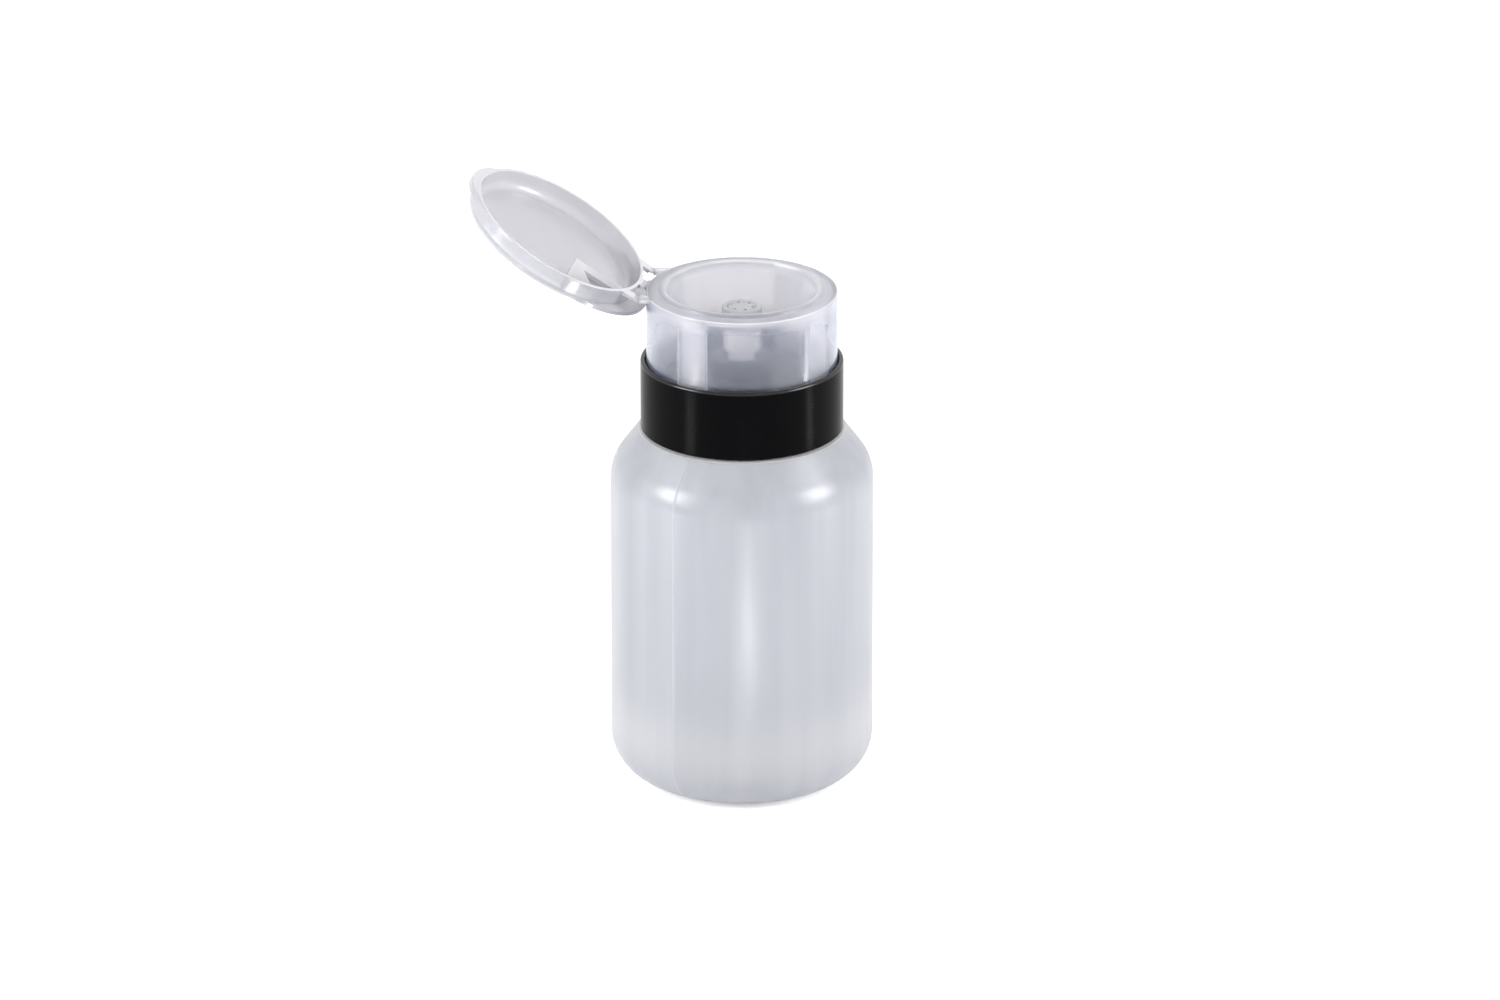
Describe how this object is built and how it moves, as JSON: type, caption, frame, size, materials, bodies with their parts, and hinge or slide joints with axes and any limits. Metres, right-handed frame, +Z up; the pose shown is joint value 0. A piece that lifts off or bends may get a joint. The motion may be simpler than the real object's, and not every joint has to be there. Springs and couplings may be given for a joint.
{
  "type": "pump dispenser bottle",
  "caption": "Translucent bottle with a black screw collar and a clear push-down dish pump under an open flip lid, for nail liquids or toner.",
  "frame": {"origin": "middle of the base on the plane that the bottle stands on, on the bottle's axis", "axes": "+Z up along the bottle's axis, the lid's hinge lies at -X and is parallel to Y"},
  "size_m": [0.1005, 0.065, 0.1528],
  "materials": {
    "bottle_natural": "natural translucent polyethylene, satin",
    "collar_black": "gloss black polypropylene",
    "gasket_rubber": "pale grey rubber washer, matte",
    "pump_white": "white moulded polypropylene",
    "tube_natural": "natural extruded polyethylene",
    "steel": "polished stainless steel",
    "dish_clear": "milky clear polypropylene, gloss",
    "outlet_clear": "milky clear polypropylene, gloss",
    "lid_clear": "milky clear polypropylene, gloss"
  },
  "bodies": {
    "bottle": {"bottle": "bottle_natural"},
    "seal": {"neck_gasket": "gasket_rubber"},
    "pump": {"pump_housing": "pump_white", "ball_cage": "pump_white", "dip_tube": "tube_natural", "retainer_bushing": "pump_white", "return_spring": "steel"},
    "collar": {"screw_collar": "collar_black"},
    "inlet_valve": {"inlet_ball": "steel"},
    "actuator": {"dish_actuator": "dish_clear", "pump_stem": "pump_white", "piston": "pump_white", "stem_head": "pump_white", "outlet_cap": "outlet_clear", "hinge_film_front": "dish_clear", "hinge_film_middle": "dish_clear", "hinge_film_back": "dish_clear"},
    "outlet_valve": {"outlet_ball": "steel"},
    "lid": {"flip_lid": "lid_clear"}
  },
  "joints": [
    {"name": "lift_off", "type": "slide", "parent": "bottle", "child": "seal", "axis": [0, 0, 1], "range_m": [0, 0.11]},
    {"name": "thread_rise", "type": "slide", "parent": "seal", "child": "pump", "axis": [0, 0, 1], "range_m": [0, 0.00635]},
    {"name": "collar_turn", "type": "hinge", "parent": "pump", "child": "collar", "pos_m": [0, 0, 0.1], "axis": [0, 0, 1], "range_deg": [0, 540]},
    {"name": "pump_stroke", "type": "slide", "parent": "pump", "child": "actuator", "axis": [0, 0, 1], "range_m": [-0.006, 0], "stiffness_N_per_m": 1200, "springref_m": 0.002, "deforming": ["return_spring"]},
    {"name": "lid_flip", "type": "hinge", "parent": "actuator", "child": "lid", "pos_m": [-0.02434, 0, 0.12715], "axis": [0, -1, 0], "range_deg": [-148.8, 0], "deforming": ["hinge_film_front", "hinge_film_middle", "hinge_film_back"]},
    {"name": "inlet_ball_lift", "type": "slide", "parent": "pump", "child": "inlet_valve", "axis": [0, 0, 1], "range_m": [0, 0.0009]},
    {"name": "outlet_ball_lift", "type": "slide", "parent": "actuator", "child": "outlet_valve", "axis": [0, 0, 1], "range_m": [0, 0.0012]}
  ],
  "couplings": [
    {"joint": "collar_turn", "follows": "thread_rise", "rad_per_m": 1484.2}
  ]
}
